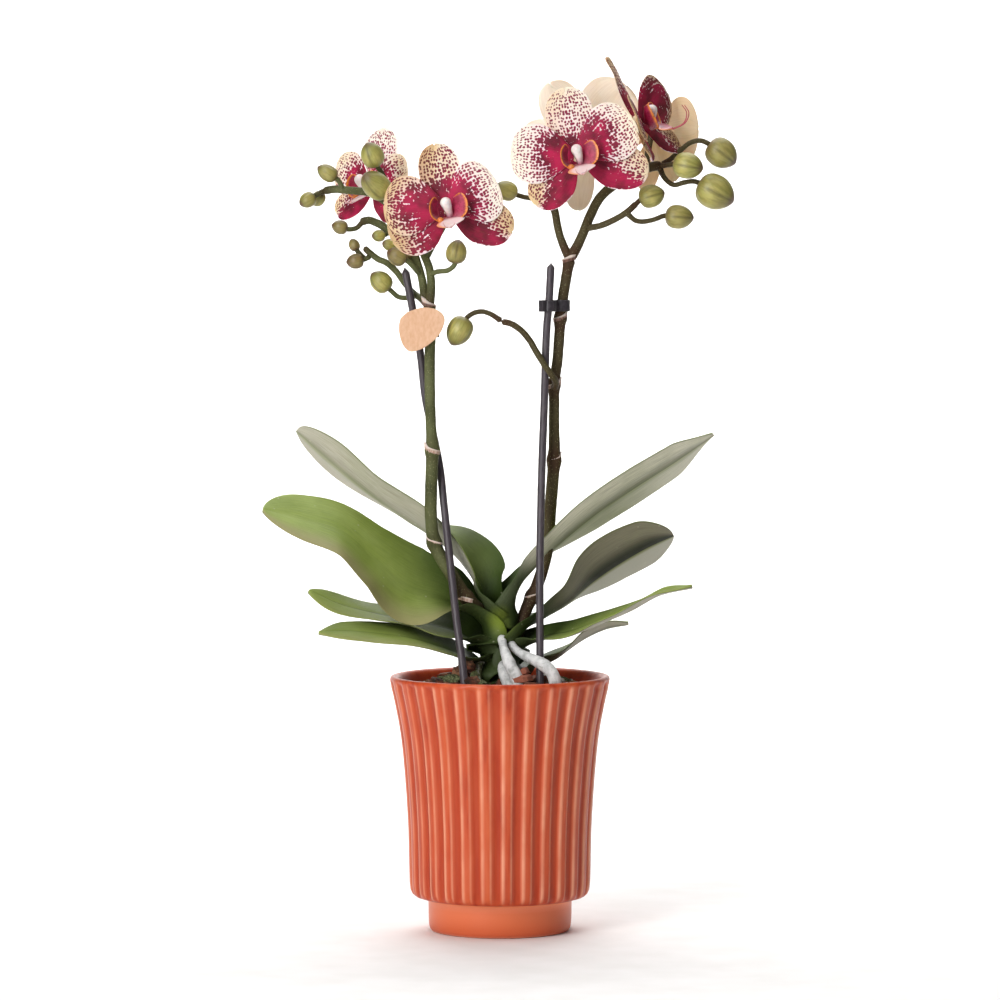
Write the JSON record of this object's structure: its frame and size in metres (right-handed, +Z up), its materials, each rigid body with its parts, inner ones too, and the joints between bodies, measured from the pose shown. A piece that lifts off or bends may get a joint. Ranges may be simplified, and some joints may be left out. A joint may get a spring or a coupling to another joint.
{
  "type": "potted moth orchid",
  "caption": "Flowering moth orchid with two staked flower spikes, standing in a fluted glazed pot.",
  "frame": {"origin": "centre of the pot's foot, on the surface it stands on", "axes": "+Z up along the pot's axis, +X to the right and -Y towards the side that most flowers face"},
  "size_m": [0.2132, 0.1, 0.3956],
  "materials": {
    "glaze": "satin gloss",
    "clear_plastic": "clear",
    "bark": "rough",
    "crown": "smooth",
    "root": "matt",
    "green_root": "matt",
    "leaf_green": "waxy",
    "leaf_grey": "waxy",
    "stem": "satin",
    "stake": "satin",
    "clip": "gloss",
    "tag": "matt",
    "petal": "soft sheen",
    "column": "waxy",
    "lip": "waxy"
  },
  "bodies": {
    "root": {"pot": "glaze", "grow_pot": "clear_plastic", "bark": "bark", "crown": "crown", "aerial_root_1": "root", "aerial_root_2": "root", "aerial_root_3": "root", "aerial_root_4": "green_root", "leaf_left_top": "leaf_grey", "leaf_right_top": "leaf_grey", "leaf_left_large": "leaf_green", "leaf_right_middle": "leaf_grey", "leaf_left_low": "leaf_green", "leaf_right_low": "leaf_green", "leaf_left_bottom": "leaf_green", "leaf_right_bottom": "leaf_grey", "spike_left": "stem", "spike_right": "stem", "stake_left": "stake", "stake_right": "stake", "clip_right": "clip", "clip_left": "clip", "tag": "tag", "flower_left_front": "petal", "flower_left_front_column": "column", "flower_left_front_lip": "lip", "flower_left_back": "petal", "flower_left_back_column": "column", "flower_left_back_lip": "lip", "flower_right_front": "petal", "flower_right_front_column": "column", "flower_right_front_lip": "lip", "flower_right_back": "petal", "flower_right_back_column": "column", "flower_right_back_lip": "lip", "flower_right_side": "petal", "flower_right_side_column": "column", "flower_right_side_lip": "lip", "flower_right_far": "petal", "flower_right_far_column": "column", "flower_right_far_lip": "lip"}
  },
  "joints": []
}
